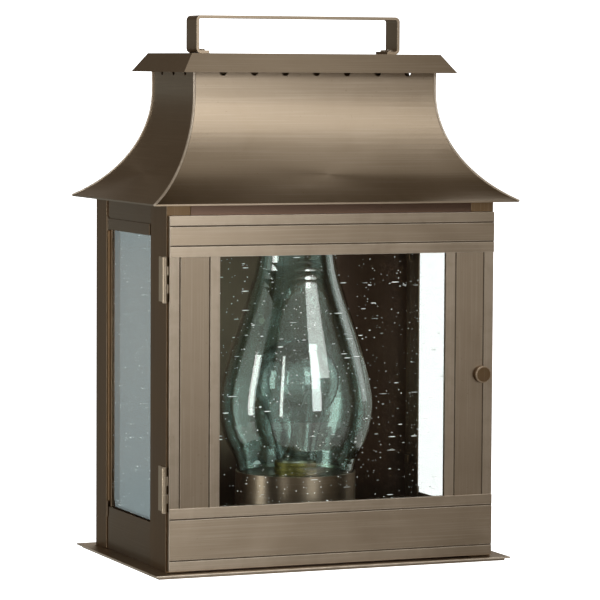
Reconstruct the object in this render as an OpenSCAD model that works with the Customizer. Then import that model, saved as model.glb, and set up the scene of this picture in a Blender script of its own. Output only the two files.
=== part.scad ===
// Outdoor wall lantern: a four-sided brass lantern with a hinged glazed door, a glass
// chimney over a medium-base bulb, a flared hipped roof with a vented cap, and a
// mounting pan with a crossbar on its back.
// Every piece is drawn with its origin at the middle of the cabin floor's back edge:
// +X is to the right, the front faces -Y and +Z is up. hang() then moves it so that the
// part's origin is on the wall, at the middle of the crossbar.

/* [Body] */
// Width across the corner posts
body_w = 240; // [230:1:250]
// Depth from the back of the posts to their front
body_d = 144; // [140:1:156]
// Height from the base plate up to the eave
body_h = 247.3; // [247:0.1:256]
// Thickness of the brass sheet
sheet = 1.2; // [1:0.1:1.4]
// How far the base plate stands out all round
base_out = 10.8; // [6:0.1:13]

/* [Side windows] */
// Width of the rear post on the side
rear_post_w = 22.5; // [18:0.5:26]
// Width of the front post on the side, with its glass stop
front_post_w = 32.6; // [30:0.2:38]
// Height of the sill panel under a side window
window_z0 = 30; // [24:1:36]
// Height of the top of a side window
window_z1 = 224.4; // [215:0.2:226]
// Thickness of the seeded glass panes
pane = 2; // [1.6:0.1:2.4]

/* [Roof] */
// Overhang of the eave beyond the body
eave_out = 13.3; // [11:0.1:14]
// Inset of the roof's neck from the body
neck_in = 30.9; // [28:0.1:33]
// Radius of the roof's hollow curve
roof_r = 85.2; // [82:0.1:90]
// Thickness of the roof and cap sheet
roof_t = 1; // [0.8:0.1:1.2]
// Distance between vent holes in the neck
vent_pitch = 22.8; // [16:0.2:24]
// Radius of a vent hole
vent_r = 2.6; // [2:0.1:3]

/* [Cap and handle] */
// How far the cap's lower edge stands out from the neck
cap_out = 11.8; // [8:0.1:13]
// How far the cap's skirt leans in from bottom to top
cap_lean = 9; // [6:0.5:10]
// Height of the cap
cap_h = 12.8; // [12:0.1:16]
// Outer width of the carry handle
handle_w = 152; // [140:1:160]
// Height of the handle above the cap
handle_h = 26; // [20:0.5:34]
// Width of the handle's strap
handle_strap_w = 20; // [16:1:24]
// Thickness of the handle's strap
handle_t = 2; // [1.6:0.1:2.4]

/* [Door] */
// Width of a door stile
stile_w = 36; // [32:0.5:38]
// Height of the door's bottom rail
bottom_rail_h = 42.3; // [38:0.1:46]
// Height of the door's top rail
top_rail_h = 27.6; // [24:0.2:30]
// Depth of the door's stile channel
stile_depth = 2.8; // [2.6:0.1:3.2]
// Width of a scored line in the door's sheet
score_w = 0.9; // [0.6:0.1:1.2]
// Radius of the door knob
knob_r = 5.9; // [5:0.1:6.5]
// Height of the door knob above the base plate
knob_z = 127.2; // [110:0.2:140]
// Height of a hinge
hinge_h = 30; // [25:1:34]

/* [Lamp] */
// Distance of the lamp's centre from the cabin's back
lamp_y = 79; // [76:0.5:81]
// Radius of the gallery drum
drum_r = 42; // [40:0.5:44]
// Height of the gallery drum
drum_h = 57; // [54:0.5:57]
// Radius of the bulb's globe
bulb_r = 30; // [28:0.5:31]
// Wall thickness of the chimney
chimney_t = 2.2; // [1.6:0.1:2.6]

/* [Wall mounting] */
// Height of the crossbar's middle above the base plate
mount_z = 130; // [125:1:140]
// Distance from the cabin's back to the wall
wall_gap = 15; // [14.5:0.5:20]
// Width of the mounting pan
pan_w = 114; // [104:1:124]
// Height of the mounting pan
pan_h = 200; // [180:1:204]
// Distance between the crossbar's two slots, for a 3.5 inch box
box_pitch = 88.9; // [88.9, 83.3]

/* [Hidden] */
$fn = 64;
eps = 0.01;

metal = "#7d6b54";
dark_metal = "#54432e";
bright_metal = "#a39078";
clear_glass = [0.75, 0.85, 0.85, 0.35];

// Body: half width, and the middle of the body from back to front
half_w = body_w / 2;
mid_y = -body_d / 2;
glass_x = half_w - 3.1;
flange_front = 17;
flange_back = 15;
stop_w = 6.9;
stop_step = 0.5;
rest_w = 4.8;
panel_recess = 0.8;
hem_w = 12;
hem_inset = 3;
hem_t = 1.8;

// Roof: the curve's centre lies outside the body, level with the foot of the neck
curve_out = roof_r - neck_in;
curve_z = body_h + sqrt(pow(roof_r, 2) - pow(curve_out - eave_out, 2));
neck_z1 = curve_z + 18;
neck_w = half_w - neck_in;
neck_d = body_d / 2 - neck_in;
post_h = curve_z - sqrt(pow(roof_r + roof_t, 2) - pow(curve_out, 2)) - 0.05;
vent_z = curve_z + 12.5;

// Cap and handle
cap_z0 = curve_z + 12.3;
cap_z1 = cap_z0 + cap_h;
cap_w = neck_w + cap_out;
cap_d = neck_d + cap_out;
strap_w = 12;
strap_x = neck_w - 33;
foot_l = 9.5;
rivet_r = 1.6;
rivet_x = handle_w / 2 - 5.5;
rivet_y = 5;

// Door: a gap behind it, then the stile channels, with the rails laid over them
door_gap = 0.4;
door_y = -body_d - door_gap;
stile_y = door_y - stile_depth;
door_w = half_w - 1;
door_z0 = 1.3;
door_z1 = door_z0 + 237.9;
opening_z0 = door_z0 + bottom_rail_h;
opening_z1 = door_z1 - top_rail_h;
opening_w = door_w - stile_w;
// How far cutting and trimming shapes reach past what they trim
past = 5;
door_sheet = 1;
score_depth = 0.45;
stile_score = 7.4;
pane_lap = 7;
sill_h = 12;
header_z0 = 229;

// Hinges: the pin's axis stands left of the door and level with its back
hinge_x = -half_w - 1.8;
hinge_y = -body_d - 1.4;
knuckle_r = 1.7;
knuckles = 5;
knuckle_gap = 0.1;
pin_r = 0.9;
pin_clearance = 0.05;
leaf_t = 0.8;
leaf_w = 12;
hinge_z = [opening_z1 - hinge_h, opening_z0 - 2.5];

// Latch: it turns a quarter to swing its tongue behind the right post's flange
knob_x = half_w - 10;
shaft_r = 2;
tongue_l = 8;
tongue_w = 4;
tongue_t = 1.2;

// Lamp
seat_z = drum_h - 2;
drum_t = 1;
bushing_z = 12;
chimney_z0 = seat_z + 0.3;
chimney_z1 = 250;
shell_r = 14.8;
base_r = 13.3;
thread_clearance = 0.05;
socket_z0 = 14;
shell_z0 = 25;
shell_z1 = seat_z + 8.5;
base_z1 = seat_z + 9.8;
bulb_z1 = base_z1 + 84.8;
nipple_r = 4.8;
nipple_bore = 3.2;

// Wall mounting
pan_t = 1.2;
bar_t = 1.6;
bar_w = 22;
bar_h = 114;
slot_r = 2.4;
slot_l = 12;
stud_r = 2.05;
stud_pitch = 54;
nut_flats = 8;
grommet_z = mount_z - 80;
grommet_r = 4.5;

// ---- shared shapes -----------------------------------------------------------------

module hang() translate([0, -wall_gap, -mount_z]) children();

// A box from its low corner to its high corner
module span(low, high) translate(low) cube(high - low);

// The same shape on the left (side -1) or on the right (side 1)
module on_side(side) mirror([side > 0 ? 0 : 1, 0, 0]) children();

// A cylinder along +Y from y0 to y1
module rod_y(r, y0, y1) translate([0, y0, 0]) rotate([-90, 0, 0]) cylinder(r = r, h = y1 - y0);

// A slot along Z, cut through in Y
module slot_y(r, l, y0, y1) {
    for (end = [-1, 1]) translate([0, 0, end * (l / 2 - r)]) rod_y(r, y0, y1);
    span([-r, y0, r - l / 2], [r, y1, l / 2 - r]);
}

// A rectangle with round corners, from the corner at the origin
module round_rect(w, h, r) {
    translate([r, 0]) square([w - 2 * r, h]);
    translate([0, r]) square([w, h - 2 * r]);
    for (x = [r, w - r], y = [r, h - r]) translate([x, y]) circle(r);
}

// A point at t on the smooth curve through points a, b, c, d, between b and c
function spline(a, b, c, d, t) =
    0.5 * (2 * b + (c - a) * t + (2 * a - 5 * b + 4 * c - d) * pow(t, 2)
        + (3 * b - 3 * c + d - a) * pow(t, 3));

// The whole smooth curve through a list of points, with n steps between two of them
function curve(p, n) = let (last = len(p) - 1) [
    for (i = [0:last - 1], k = [0:n - 1])
        spline(p[max(i - 1, 0)], p[i], p[i + 1], p[min(i + 2, last)], k / n),
    p[last]
];

// ---- cabin -------------------------------------------------------------------------

module base_plate() color(metal) hang() difference() {
    span([-half_w - base_out, -body_d - base_out, -sheet], [half_w + base_out, base_out, 0]);
    translate([0, -lamp_y, -sheet - 1]) cylinder(r = nipple_r, h = sheet + 2);
}

module base_hem() color(metal) hang() difference() {
    w = half_w + base_out - hem_inset;
    y0 = -body_d - base_out + hem_inset;
    y1 = base_out - hem_inset;
    span([-w, y0, -sheet - hem_t], [w, y1, -sheet]);
    span([hem_w - w, y0 + hem_w, -sheet - hem_t - 1], [w - hem_w, y1 - hem_w, 0]);
}

// Right front post, from above: front flange, side flange, stepped glass stop and lip
module front_post_section() {
    stop_y = -body_d + front_post_w;
    translate([half_w - flange_front, -body_d]) square([flange_front, sheet]);
    translate([half_w - sheet, -body_d]) square([sheet, front_post_w - stop_w + 0.01]);
    translate([half_w - stop_step - sheet, stop_y - stop_w]) square([sheet, stop_w]);
    translate([glass_x, stop_y - sheet]) square([half_w - stop_step - glass_x, sheet]);
}

// Right rear post, from above: back flange, side flange, lip and the strip the pane rests on
module rear_post_section() {
    translate([half_w - flange_back, -sheet]) square([flange_back, sheet]);
    translate([half_w - sheet, -rear_post_w]) square([sheet, rear_post_w]);
    translate([glass_x, -rear_post_w]) square([half_w - glass_x, sheet]);
    translate([glass_x, -rear_post_w - rest_w])
        square([half_w - panel_recess - sheet - glass_x, rest_w + eps]);
}

module post_front_left() color(dark_metal) hang()
    on_side(-1) linear_extrude(post_h) front_post_section();

// The right post has the slot that the latch's tongue goes through
module post_front_right() color(dark_metal) hang() difference() {
    linear_extrude(post_h) front_post_section();
    translate([knob_x, 0, knob_z])
        span([-tongue_w / 2 - 0.5, -body_d - 1, -tongue_l - 1.2],
             [tongue_w / 2 + 0.5, -body_d + sheet + 0.1, shaft_r + 0.8]);
}

module post_rear(side) color(dark_metal) hang()
    on_side(side) linear_extrude(post_h) rear_post_section();

// The little tab folded over the rear corner of a side window
module corner_tab(z0, z1) {
    x = half_w - panel_recess;
    span([x, -rear_post_w - 2.2, z0], [x + 0.6, -rear_post_w, z1]);
}

module side_sheet(z0, z1) {
    x = half_w - panel_recess;
    span([x - sheet, -body_d + front_post_w, z0], [x, -rear_post_w, z1]);
}

module side_sill(side) color(dark_metal) hang() on_side(side) {
    side_sheet(0, window_z0);
    corner_tab(window_z0 - 7, window_z0 + 4);
}

module side_header(side) color(dark_metal) hang() on_side(side) {
    side_sheet(window_z1, post_h);
    corner_tab(window_z1 - 1, window_z1 + 9);
    x = half_w - panel_recess;
    span([x, -body_d + front_post_w + 1.5, window_z1], [x + 0.7, -rear_post_w - 2.8, window_z1 + 7.9]);
}

module side_glass(side) color(clear_glass) hang() on_side(side)
    span([glass_x - pane, -body_d + front_post_w - 10.6, window_z0 - 8],
         [glass_x, 10.5 - rear_post_w, window_z1 + 8]);

// Four bent clips hold each side pane against the lips of its posts
module glass_clips(side) color(dark_metal) hang() on_side(side)
    for (z = [window_z0 + 20, window_z1 - 26]) {
        clip_pair(-body_d + front_post_w - 10.6, -1, z);
        clip_pair(10.5 - rear_post_w, 1, z);
    }

module clip_pair(edge_y, way, z) translate([0, edge_y, z]) mirror([0, way > 0 ? 0 : 1, 0]) {
    span([glass_x - pane - 0.8, 0, 0], [half_w - sheet, 0.8, 6]);
    span([glass_x - pane - 0.8, -5, 0], [glass_x - pane, 0.8, 6]);
}

module back_panel() color(dark_metal) hang() difference() {
    span([-half_w + sheet, -2 * sheet, 0], [half_w - sheet, -sheet, post_h]);
    stud_holes(-2 * sheet - 1, 0);
    translate([0, 0, grommet_z]) rod_y(grommet_r + 1.5, -2 * sheet - 1, 0);
}

module front_header() color(dark_metal) hang()
    span([flange_front - half_w, -body_d, header_z0], [half_w - flange_front, -body_d + sheet, post_h]);

module front_sill() color(dark_metal) hang()
    span([flange_front - half_w, -body_d, 0], [half_w - flange_front, -body_d + sheet, sill_h]);

// ---- roof, cap and handle ----------------------------------------------------------

// One side of the roof in cross-section: x is the distance out from the body's side
module roof_section() {
    intersection() {
        translate([curve_out, curve_z]) difference() {
            circle(roof_r + roof_t, $fn = 180);
            circle(roof_r, $fn = 180);
        }
        translate([-neck_in - roof_t, body_h - past])
            square([neck_in + roof_t + eave_out, curve_z - body_h + past]);
    }
    translate([-neck_in - roof_t, curve_z]) square([roof_t, neck_z1 - curve_z]);
}

// One roof side, cut to a mitre at its two hips; side_w is half its width at the body
// and side_d how far the body's middle is behind it
module roof_side(side_w, side_d, vents) translate([0, mid_y, 0]) difference() {
    intersection() {
        reach = side_w + eave_out + 1;
        far = eave_out + past;
        near = neck_in + past;
        translate([reach, 0, 0]) rotate([90, 0, -90]) linear_extrude(2 * reach)
            translate([side_d, 0]) roof_section();
        linear_extrude(neck_z1 + 1) polygon([
            [-side_w - far, -side_d - far], [side_w + far, -side_d - far],
            [side_w - near, near - side_d], [near - side_w, near - side_d]
        ]);
    }
    for (i = [0:vents - 1])
        translate([(i - (vents - 1) / 2) * vent_pitch, 0, vent_z])
            rod_y(vent_r, -side_d, -side_d + neck_in + roof_t + 1);
}

module roof_front() color(metal) hang() roof_side(half_w, body_d / 2, 7);

module roof_rear() color(metal) hang()
    translate([0, 2 * mid_y, 0]) mirror([0, 1, 0]) roof_side(half_w, body_d / 2, 7);

module roof_end(side) color(dark_metal) hang() on_side(side)
    translate([0, mid_y, 0]) rotate([0, 0, 90]) translate([0, -mid_y, 0])
        roof_side(body_d / 2, half_w, 3);

// Two straps across the inside of the neck carry the cap
module cap_straps() color(dark_metal) hang() translate([0, mid_y, 0]) {
    d = neck_d - roof_t;
    for (x = [-strap_x, strap_x]) {
        span([x - strap_w / 2, -d, cap_z1 - roof_t - sheet], [x + strap_w / 2, d, cap_z1 - roof_t]);
        for (y = [-d, d - sheet])
            span([x - strap_w / 2, y, curve_z + 1], [x + strap_w / 2, y + sheet, cap_z1 - roof_t]);
    }
}

// A block whose four sides lean in by lean from z0 to z1
module leaning_block(w, d, z0, z1, lean) hull() {
    span([-w, -d, z0], [w, d, z0 + eps]);
    span([lean - w, lean - d, z1 - eps], [w - lean, d - lean, z1]);
}

module vent_cap() color(metal) hang() translate([0, mid_y, 0]) difference() {
    leaning_block(cap_w, cap_d, cap_z0, cap_z1, cap_lean);
    translate([0, 0, -roof_t]) leaning_block(cap_w - 0.35, cap_d - 0.35, cap_z0, cap_z1, cap_lean);
    span([0.6 - cap_w, 0.6 - cap_d, cap_z0 - 1], [cap_w - 0.6, cap_d - 0.6, cap_z0 + 0.02]);
    rivet_places() cylinder(r = rivet_r, h = cap_z1 + 1);
}

module rivet_places()
    for (x = [-rivet_x, rivet_x], y = [-rivet_y, rivet_y]) translate([x, y, 0]) children();

// A flat strap bent to a bridge, with its feet turned inwards on the cap
module carry_handle() color(metal) hang() translate([0, mid_y, cap_z1]) difference() {
    rotate([90, 0, 0]) linear_extrude(handle_strap_w, center = true) difference() {
        translate([-handle_w / 2, 0]) round_rect(handle_w, handle_h, 3.5);
        translate([handle_t - handle_w / 2, handle_t])
            round_rect(handle_w - 2 * handle_t, handle_h - 2 * handle_t, 1.5);
        translate([foot_l - handle_w / 2, -1]) square([handle_w - 2 * foot_l, handle_t + 3]);
    }
    rivet_places() translate([0, 0, -1]) cylinder(r = rivet_r, h = handle_t + 2);
}

module handle_rivets() color(bright_metal) hang() translate([0, mid_y, cap_z1])
    rivet_places() {
        translate([0, 0, -roof_t]) cylinder(r = rivet_r, h = roof_t + handle_t);
        translate([0, 0, handle_t]) cylinder(r1 = 2.7, r2 = 1.9, h = 1.2);
        translate([0, 0, -roof_t - 1]) cylinder(r = 2.4, h = 1);
    }

// ---- door --------------------------------------------------------------------------

// A right stile from above: a shallow channel with a scored line near each edge
module stile_section() difference() {
    translate([opening_w, stile_y]) square([stile_w, stile_depth]);
    translate([opening_w + door_sheet, stile_y + door_sheet])
        square([stile_w - 2 * door_sheet, stile_depth]);
    for (x = [opening_w + stile_score, door_w - stile_score])
        translate([x - score_w / 2, stile_y - 1]) square([score_w, 1 + score_depth]);
}

// The left stile's outer edge is notched for the leaves of the two hinges
module door_stile_left() color(metal) hang() on_side(-1) difference() {
    translate([0, 0, door_z0]) linear_extrude(door_z1 - door_z0) stile_section();
    for (z = hinge_z)
        span([door_w - 2, door_y - leaf_t, z], [door_w + 1, door_y + 1, z + hinge_h]);
}

module door_stile_right() color(metal) hang() difference() {
    translate([0, 0, door_z0]) linear_extrude(door_z1 - door_z0) stile_section();
    translate([knob_x, 0, knob_z]) rod_y(shaft_r + 0.05, stile_y - 1, door_y + 1);
}

// A rail: its web lies over the stiles, and its edges turn back between them
module door_rail(z0, z1, scores) {
    web_y = stile_y - door_sheet;
    difference() {
        span([-door_w, web_y, z0], [door_w, stile_y, z1]);
        for (z = scores)
            span([-door_w - 1, web_y - 1, z - score_w / 2], [door_w + 1, web_y + score_depth, z + score_w / 2]);
    }
    for (z = [z0, z1 - door_sheet])
        span([-opening_w, stile_y - eps, z], [opening_w, door_y, z + door_sheet]);
}

module door_rail_top() color(bright_metal) hang()
    door_rail(opening_z1, door_z1, [opening_z1 + 7.4, door_z1 - 7]);

module door_rail_bottom() color(metal) hang()
    door_rail(door_z0, opening_z0, [door_z0 + 7.1, opening_z0 - 7.4]);

module door_glass() color(clear_glass) hang()
    span([-opening_w - pane_lap, door_y, opening_z0 - pane_lap],
         [opening_w + pane_lap, door_y + pane, opening_z1 + pane_lap]);

// Six bent clips behind the stiles hold the pane
module door_glass_clips() color(dark_metal) hang()
    for (side = [-1, 1], z = [opening_z0 + 12, (opening_z0 + opening_z1) / 2 + 20, opening_z1 - 18])
        on_side(side) translate([opening_w + pane_lap, door_y, z]) {
            span([0, 0, 0], [0.8, pane + 0.8, 6]);
            span([-4, pane, 0], [0.8, pane + 0.8, 6]);
            span([0, 0, 0], [5, 0.8, 6]);
        }

// ---- hinges ------------------------------------------------------------------------

// Every second knuckle of a hinge, the first of them at index first
module knuckle_rows(first) {
    step = hinge_h / knuckles;
    for (i = [first:2:knuckles - 1])
        translate([0, 0, i * step + knuckle_gap / 2]) {
            $row_h = step - knuckle_gap;
            children();
        }
}

// The fixed leaf lies on the outside of the left post
module hinge_leaf(z) color(metal) hang() translate([hinge_x, hinge_y, z]) difference() {
    union() {
        span([1.8 - leaf_t, 2.2, 0], [1.8, leaf_w + 2.2, hinge_h]);
        knuckle_rows(0) {
            cylinder(r = knuckle_r, h = $row_h);
            span([1.8 - leaf_t, 0, 0], [1.8, 2.3, $row_h]);
        }
    }
    translate([0, 0, -1]) cylinder(r = pin_r, h = hinge_h + 2);
}

// The door's leaf lies in the back of the left stile's channel
module door_leaf(z) color(metal) hang() translate([hinge_x, hinge_y, z]) difference() {
    lift = door_y - hinge_y;
    union() {
        span([4.2, lift - leaf_t, 0], [4.2 + leaf_w, lift, hinge_h]);
        knuckle_rows(1) {
            cylinder(r = knuckle_r, h = $row_h);
            span([0.5, lift - leaf_t, 0], [4.3, lift, $row_h]);
        }
    }
    translate([0, 0, -1]) cylinder(r = pin_r + pin_clearance, h = hinge_h + 2);
}

module hinge_pin(z) color(bright_metal) hang() translate([hinge_x, hinge_y, z]) {
    cylinder(r = pin_r, h = hinge_h);
    for (end = [-0.5, hinge_h]) translate([0, 0, end]) cylinder(r = pin_r + 0.5, h = 0.5);
}

// ---- latch -------------------------------------------------------------------------

module latch_frame() hang() translate([knob_x, 0, knob_z]) children();

module latch_knob() color(metal) latch_frame() difference() {
    union() {
        rod_y(knob_r, stile_y - 4.6, stile_y - 0.1);
        rod_y(knob_r - 0.5, stile_y - 5, stile_y - 4.5);
    }
    rod_y(shaft_r, stile_y - 3, stile_y);
}

module latch_shaft() color(bright_metal) latch_frame() rod_y(shaft_r, stile_y - 3, -body_d + 3);

module latch_washer() color(bright_metal) latch_frame() difference() {
    rod_y(4, stile_y + door_sheet + 0.1, stile_y + door_sheet + 0.7);
    rod_y(shaft_r, stile_y, door_y);
}

// At rest the tongue hangs down, in line with the slot; a quarter turn locks the door
module latch_tongue() color(bright_metal) latch_frame() {
    y0 = -body_d + sheet + 0.3;
    difference() {
        union() {
            rod_y(3, y0, y0 + tongue_t);
            span([-tongue_w / 2, y0, -tongue_l], [tongue_w / 2, y0 + tongue_t, 0]);
        }
        rod_y(shaft_r, y0 - 1, y0 + tongue_t + 1);
    }
}

// ---- lamp --------------------------------------------------------------------------

module lamp_frame() hang() translate([0, -lamp_y, 0]) children();

// A ring or tube standing on z0
module tube(r, bore, z0, z1) translate([0, 0, z0]) difference() {
    cylinder(r = r, h = z1 - z0);
    translate([0, 0, -1]) cylinder(r = bore, h = z1 - z0 + 2);
}

module gallery_drum() color(metal) lamp_frame() difference() {
    tube(drum_r, drum_r - drum_t, 0, drum_h, $fn = 128);
    translate([0, 0, bushing_z]) rod_y(5, 0, drum_r + 1);
}

// The plate near the drum's top that the chimney stands on
module gallery_top() color(metal) lamp_frame()
    tube(drum_r - drum_t, shell_r, seat_z - drum_t, seat_z, $fn = 128);

module drum_bushing() color("#26231f") lamp_frame() translate([0, 0, bushing_z]) difference() {
    union() {
        rod_y(5, drum_r - 3, drum_r + 1.2);
        rod_y(6.5, drum_r + 0.1, drum_r + 1.2);
    }
    rod_y(3.5, 0, drum_r + 3);
}

module socket_body() color("#e8e2d4") lamp_frame() difference() {
    translate([0, 0, socket_z0]) cylinder(r = 19, h = seat_z - drum_t - socket_z0 - 0.2);
    translate([0, 0, shell_z0]) cylinder(r = shell_r, h = drum_h);
    translate([0, 0, socket_z0 - 1]) cylinder(r = nipple_r, h = 7);
}

module socket_shell() color("#9a8646") lamp_frame()
    tube(shell_r, base_r + thread_clearance, shell_z0, shell_z1);

module socket_contact() color("#b08d3c") lamp_frame() {
    translate([0, 0, shell_z0]) cylinder(r = 6, h = 1);
    translate([0, 0, shell_z0 + 0.9]) cylinder(r1 = 3, r2 = 2.2, h = 3.8);
}

module socket_nipple() color("#b08d3c") lamp_frame()
    tube(nipple_r, nipple_bore, -7, socket_z0 + 6);

module nipple_nut() color("#b08d3c") lamp_frame() difference() {
    translate([0, 0, -sheet - 4]) cylinder(r = 8.1, h = 4, $fn = 6);
    translate([0, 0, -sheet - 5]) cylinder(r = nipple_r, h = 6);
}

// The bulb's outline: a globe, then an easy hollow down to its neck; drop thins it
function bulb_outline(drop) = let (globe_z = bulb_z1 - bulb_r, r = bulb_r - drop) concat(
    [for (a = [0:6:126]) [r * sin(a), globe_z + r * cos(a)]],
    let (hip = [r * sin(126), globe_z + r * cos(126)], neck = [base_r - 0.5 - drop, base_z1])
        [for (k = [1:10]) let (t = k / 10)
            pow(1 - t, 3) * hip + 3 * pow(1 - t, 2) * t * (hip + [-7.5, -10.3])
            + 3 * (1 - t) * pow(t, 2) * (neck + [1.2, 9]) + pow(t, 3) * neck]);

module bulb_glass() color(clear_glass) lamp_frame() rotate_extrude($fn = 96) difference() {
    polygon(concat(bulb_outline(0), [[0, base_z1]]));
    polygon(concat(bulb_outline(0.8), [[base_r - 1.3, base_z1 - 1], [0, base_z1 - 1]]));
}

module bulb_base() color("#b3a580") lamp_frame() {
    translate([0, 0, base_z1 - 25]) cylinder(r = base_r, h = 25);
    translate([0, 0, base_z1 - 29.5]) cylinder(r1 = 5.5, r2 = 10, h = 4.6);
    translate([0, 0, base_z1 - 31.5]) cylinder(r = 4.5, h = 2.1);
    translate([0, 0, base_z1 - 33.6]) cylinder(r1 = 2.8, r2 = 4.2, h = 2.2);
}

module bulb_stem() color(clear_glass) lamp_frame() translate([0, 0, base_z1]) rotate_extrude()
    polygon(concat(
        [[0, 0], [9.5, 0]],
        curve([[9.5, 2], [5, 9], [3, 17], [2.6, 26], [3.6, 29]], 4),
        [[0, 30]]));

// Two support wires lean outwards to the ends of the filament's arch
module bulb_filament() color("#8d8a80") lamp_frame() translate([0, 0, base_z1 + 30.3]) {
    for (side = [-1, 1])
        translate([side * 1.4, 0, 0]) rotate([0, side * 25, 0]) cylinder(r = 0.45, h = 20);
    translate([0, 0, 13.4]) rotate([90, 0, 0]) rotate([0, 0, 30])
        rotate_extrude(angle = 120) translate([12, 0]) circle(0.4, $fn = 24);
}

// Outline of the chimney's outer wall, from its foot to its top
chimney_wall = [
    [drum_r - 1.5, chimney_z0], [43.4, 67], [49.6, 79], [53.6, 96], [53.2, 113], [46.8, 141],
    [35.9, 173.5], [28.6, 198], [26.2, 220], [26.4, chimney_z1]
];

module chimney() color([0.55, 0.72, 0.68, 0.35]) lamp_frame() rotate_extrude($fn = 128)
    difference() {
        polygon(concat([[0, chimney_z0]], curve(chimney_wall, 4), [[0, chimney_z1]]));
        translate([-chimney_t, 0]) polygon(concat(
            [[0, chimney_z0 - 1], [drum_r - 1.5, chimney_z0 - 1]], curve(chimney_wall, 4),
            [[26.4, chimney_z1 + 1], [0, chimney_z1 + 1]]));
    }

// ---- wall mounting -----------------------------------------------------------------

module stud_places()
    for (z = [-stud_pitch / 2, stud_pitch / 2])
        translate([0, 0, mount_z + z]) children();

module stud_holes(y0, y1) stud_places() rod_y(stud_r + 0.5, y0, y1);

module mounting_pan() color(dark_metal) hang() difference() {
    span([-pan_w / 2, -sheet, mount_z - pan_h / 2], [pan_w / 2, wall_gap, mount_z + pan_h / 2]);
    span([pan_t - pan_w / 2, 0, mount_z - pan_h / 2 + pan_t],
         [pan_w / 2 - pan_t, wall_gap + 1, mount_z + pan_h / 2 - pan_t]);
    stud_holes(-sheet - 1, 1);
    translate([0, 0, grommet_z]) rod_y(grommet_r + 1.5, -sheet - 1, 1);
}

module crossbar() color("#9a9a92") hang() translate([0, 0, mount_z]) difference() {
    span([-bar_w / 2, wall_gap - bar_t, -bar_h / 2], [bar_w / 2, wall_gap, bar_h / 2]);
    for (z = [-box_pitch / 2, box_pitch / 2])
        translate([0, 0, z]) slot_y(slot_r, slot_l, wall_gap - bar_t - 1, wall_gap + 1);
    for (z = [-stud_pitch / 2, stud_pitch / 2])
        translate([0, 0, z]) rod_y(stud_r, wall_gap - bar_t - 1, wall_gap + 1);
    translate([bar_w / 2 - 5, 0, 12]) rod_y(1.8, wall_gap - bar_t - 1, wall_gap + 1);
    rod_y(5.2, wall_gap - bar_t - 1, wall_gap + 1);
}

module mounting_studs() color(bright_metal) hang() stud_places() rod_y(stud_r, -9, wall_gap);

module cap_nuts() color(bright_metal) hang() stud_places() difference() {
    hex_h = 4.5;
    dome_h = 4.2;
    rotate([90, 0, 0]) translate([0, 0, 2 * sheet]) {
        cylinder(d = nut_flats / cos(30), h = hex_h, $fn = 6);
        translate([0, 0, hex_h - 0.1]) cylinder(r1 = nut_flats / 2 - 0.3, r2 = 2, h = dome_h);
    }
    rod_y(stud_r, -9, 0);
}

module wire_grommet() color("#26231f") hang() translate([0, 0, grommet_z]) difference() {
    union() {
        rod_y(grommet_r + 1.5, -2 * sheet - 1.2, 1.2);
        for (y = [-2 * sheet - 1.2, 0]) rod_y(grommet_r + 3, y, y + 1.2);
    }
    rod_y(grommet_r, -2 * sheet - 3, 3);
}

module ground_screw() color("#3f7a4a") hang()
    translate([bar_w / 2 - 5, wall_gap, mount_z + 12]) {
        rod_y(1.8, -bar_t, 0);
        difference() {
            rod_y(3.6, -bar_t - 2, -bar_t);
            span([-3.7, -bar_t - 2.1, -0.5], [3.7, -bar_t - 1, 0.5]);
        }
    }

base_plate();
base_hem();
post_front_left();
post_front_right();
post_rear(-1);  // post_rear_left
post_rear(1);  // post_rear_right
side_sill(-1);  // side_sill_left
side_sill(1);  // side_sill_right
side_header(-1);  // side_header_left
side_header(1);  // side_header_right
side_glass(-1);  // side_glass_left
side_glass(1);  // side_glass_right
glass_clips(-1);  // glass_clips_left
glass_clips(1);  // glass_clips_right
back_panel();
front_header();
front_sill();
roof_front();
roof_rear();
roof_end(-1);  // roof_left
roof_end(1);  // roof_right
cap_straps();
vent_cap();
carry_handle();
handle_rivets();
door_stile_left();
door_stile_right();
door_rail_top();
door_rail_bottom();
door_glass();
door_glass_clips();
hinge_leaf(hinge_z[0]);  // hinge_leaf_upper
hinge_leaf(hinge_z[1]);  // hinge_leaf_lower
door_leaf(hinge_z[0]);  // door_leaf_upper
door_leaf(hinge_z[1]);  // door_leaf_lower
hinge_pin(hinge_z[0]);  // hinge_pin_upper
hinge_pin(hinge_z[1]);  // hinge_pin_lower
latch_knob();
latch_shaft();
latch_washer();
latch_tongue();
gallery_drum();
gallery_top();
drum_bushing();
socket_body();
socket_shell();
socket_contact();
socket_nipple();
nipple_nut();
bulb_glass();
bulb_base();
bulb_stem();
bulb_filament();
chimney();
mounting_pan();
crossbar();
mounting_studs();
cap_nuts();
wire_grommet();
ground_screw();
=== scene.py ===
"""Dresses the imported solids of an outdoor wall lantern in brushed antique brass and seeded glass."""

import logging
import math
from collections.abc import Callable
from dataclasses import dataclass, field
from enum import Enum

import bmesh
import bpy
from mathutils import Matrix, Vector

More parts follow.
